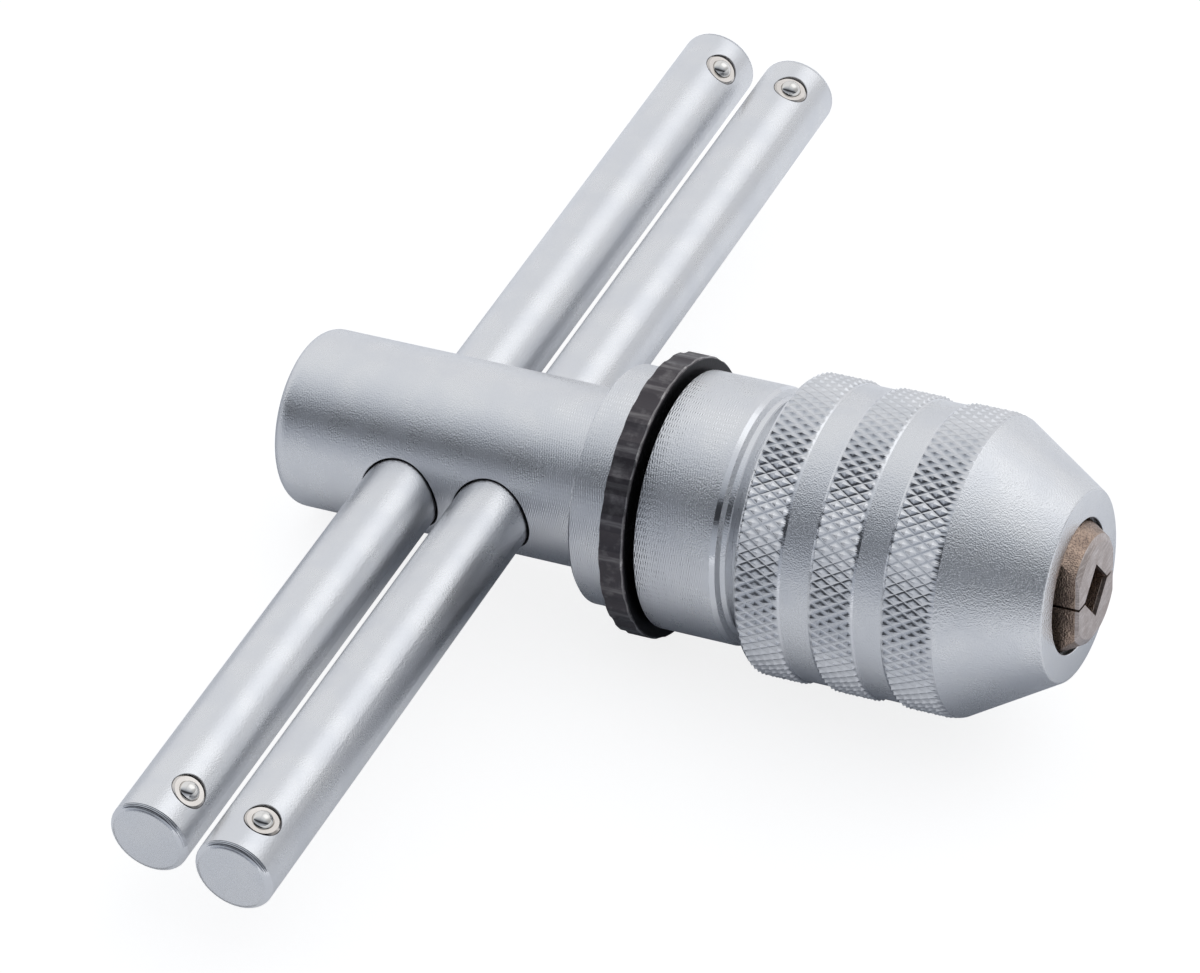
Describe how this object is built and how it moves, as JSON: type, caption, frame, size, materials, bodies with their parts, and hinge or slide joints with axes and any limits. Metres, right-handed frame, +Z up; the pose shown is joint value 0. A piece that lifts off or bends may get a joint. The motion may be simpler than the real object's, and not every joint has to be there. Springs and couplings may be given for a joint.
{
  "type": "ratcheting tap wrench",
  "caption": "Ratcheting T-handle tap wrench with sliding cross bars, a selector ring and a knurled chuck, for turning hand taps in tight places.",
  "frame": {"origin": "centre of the underside of the bounding box, as the tool lies on a table", "axes": "+Z up; +Y along the sliding bars; the spindle axis lies in the XZ plane and points to +X, nose up by 6.59 degrees, because the tool rests on the rear edge of its body and on the rear of its knurled sleeve"},
  "size_m": [0.1276, 0.1954, 0.0492],
  "materials": {
    "satin_chrome": "satin chrome plate",
    "black_oxide": "black oxide on steel",
    "hardened_steel": "heat-tinted hardened steel",
    "ball_case": "machined steel",
    "polished_ball": "polished",
    "spring_steel": "spring wire"
  },
  "bodies": {
    "head": {"tee_body": "satin_chrome", "pawl_pin": "hardened_steel", "spindle_snap_ring": "black_oxide", "selector_clip": "black_oxide"},
    "rear_bar": {"rear_slide_bar": "satin_chrome", "rear_bar_near_case": "ball_case", "rear_bar_far_case": "ball_case", "rear_bar_near_spring": "spring_steel", "rear_bar_far_spring": "spring_steel"},
    "front_bar": {"front_slide_bar": "satin_chrome", "front_bar_near_case": "ball_case", "front_bar_far_case": "ball_case", "front_bar_near_spring": "spring_steel", "front_bar_far_spring": "spring_steel"},
    "selector": {"selector_ring": "black_oxide", "selector_spring": "spring_steel"},
    "selector_ball": {"selector_ball": "polished_ball"},
    "pawl": {"reversing_pawl": "hardened_steel"},
    "spindle": {"spindle": "satin_chrome", "left_jaw_spring": "spring_steel", "right_jaw_spring": "spring_steel"},
    "pressure_ring": {"pressure_ring": "hardened_steel"},
    "sleeve": {"chuck_sleeve": "satin_chrome"},
    "upper_jaw": {"upper_jaw": "hardened_steel"},
    "lower_jaw": {"lower_jaw": "hardened_steel"},
    "rear_bar_near_ball": {"rear_bar_near_ball": "polished_ball"},
    "rear_bar_far_ball": {"rear_bar_far_ball": "polished_ball"},
    "front_bar_near_ball": {"front_bar_near_ball": "polished_ball"},
    "front_bar_far_ball": {"front_bar_far_ball": "polished_ball"}
  },
  "joints": [
    {"name": "rear_bar_slide", "type": "slide", "parent": "head", "child": "rear_bar", "axis": [0, 1, 0], "range_m": [-0.079, 0.0702]},
    {"name": "rear_bar_near_ball_press", "type": "slide", "parent": "rear_bar", "child": "rear_bar_near_ball", "axis": [-0.5651, 0, -0.825], "range_m": [0, 0.00105], "stiffness_N_per_m": 300, "springref_m": -0.002, "deforming": ["rear_bar_near_spring"]},
    {"name": "rear_bar_far_ball_press", "type": "slide", "parent": "rear_bar", "child": "rear_bar_far_ball", "axis": [-0.5651, 0, -0.825], "range_m": [0, 0.00105], "stiffness_N_per_m": 300, "springref_m": -0.002, "deforming": ["rear_bar_far_spring"]},
    {"name": "front_bar_slide", "type": "slide", "parent": "head", "child": "front_bar", "axis": [0, 1, 0], "range_m": [-0.0766, 0.0736]},
    {"name": "front_bar_near_ball_press", "type": "slide", "parent": "front_bar", "child": "front_bar_near_ball", "axis": [-0.2573, 0, -0.9663], "range_m": [0, 0.00105], "stiffness_N_per_m": 300, "springref_m": -0.002, "deforming": ["front_bar_near_spring"]},
    {"name": "front_bar_far_ball_press", "type": "slide", "parent": "front_bar", "child": "front_bar_far_ball", "axis": [-0.2573, 0, -0.9663], "range_m": [0, 0.00105], "stiffness_N_per_m": 300, "springref_m": -0.002, "deforming": ["front_bar_far_spring"]},
    {"name": "selector_turn", "type": "hinge", "parent": "head", "child": "selector", "pos_m": [-0.003, -0.00295, 0.02119], "axis": [0.9934, 0, 0.1148], "range_deg": [-15, 15]},
    {"name": "selector_ball_press", "type": "slide", "parent": "selector", "child": "selector_ball", "axis": [-0.1148, 0, 0.9934], "range_m": [0, 0.0006], "stiffness_N_per_m": 200, "springref_m": -0.001, "deforming": ["selector_spring"]},
    {"name": "pawl_rock", "type": "hinge", "parent": "head", "child": "pawl", "pos_m": [-0.00638, -0.00295, 0.03328], "axis": [0.9934, 0, 0.1148], "range_deg": [-12, 12]},
    {"name": "spindle_spin", "type": "hinge", "parent": "head", "child": "spindle", "pos_m": [-0.00022, -0.00295, 0.02151], "axis": [0.9934, 0, 0.1148], "continuous": true},
    {"name": "sleeve_advance", "type": "slide", "parent": "spindle", "child": "pressure_ring", "axis": [0.9934, 0, 0.1148], "range_m": [-0.00025, 0.005]},
    {"name": "sleeve_turn", "type": "hinge", "parent": "pressure_ring", "child": "sleeve", "pos_m": [0.01662, -0.00295, 0.02346], "axis": [0.9934, 0, 0.1148], "range_deg": [-60, 1200]},
    {"name": "upper_jaw_slide", "type": "slide", "parent": "spindle", "child": "upper_jaw", "axis": [-0.113, 0.1736, 0.9783], "range_m": [-0.00014, 0.00289]},
    {"name": "lower_jaw_slide", "type": "slide", "parent": "spindle", "child": "lower_jaw", "axis": [0.113, -0.1736, -0.9783], "range_m": [-0.00014, 0.00289], "deforming": ["left_jaw_spring", "right_jaw_spring"]}
  ],
  "couplings": [
    {"joint": "pawl_rock", "follows": "selector_turn", "ratio": 0.8},
    {"joint": "sleeve_turn", "follows": "sleeve_advance", "rad_per_m": 4188.8},
    {"joint": "upper_jaw_slide", "follows": "sleeve_advance", "ratio": 0.57735},
    {"joint": "lower_jaw_slide", "follows": "sleeve_advance", "ratio": 0.57735}
  ]
}
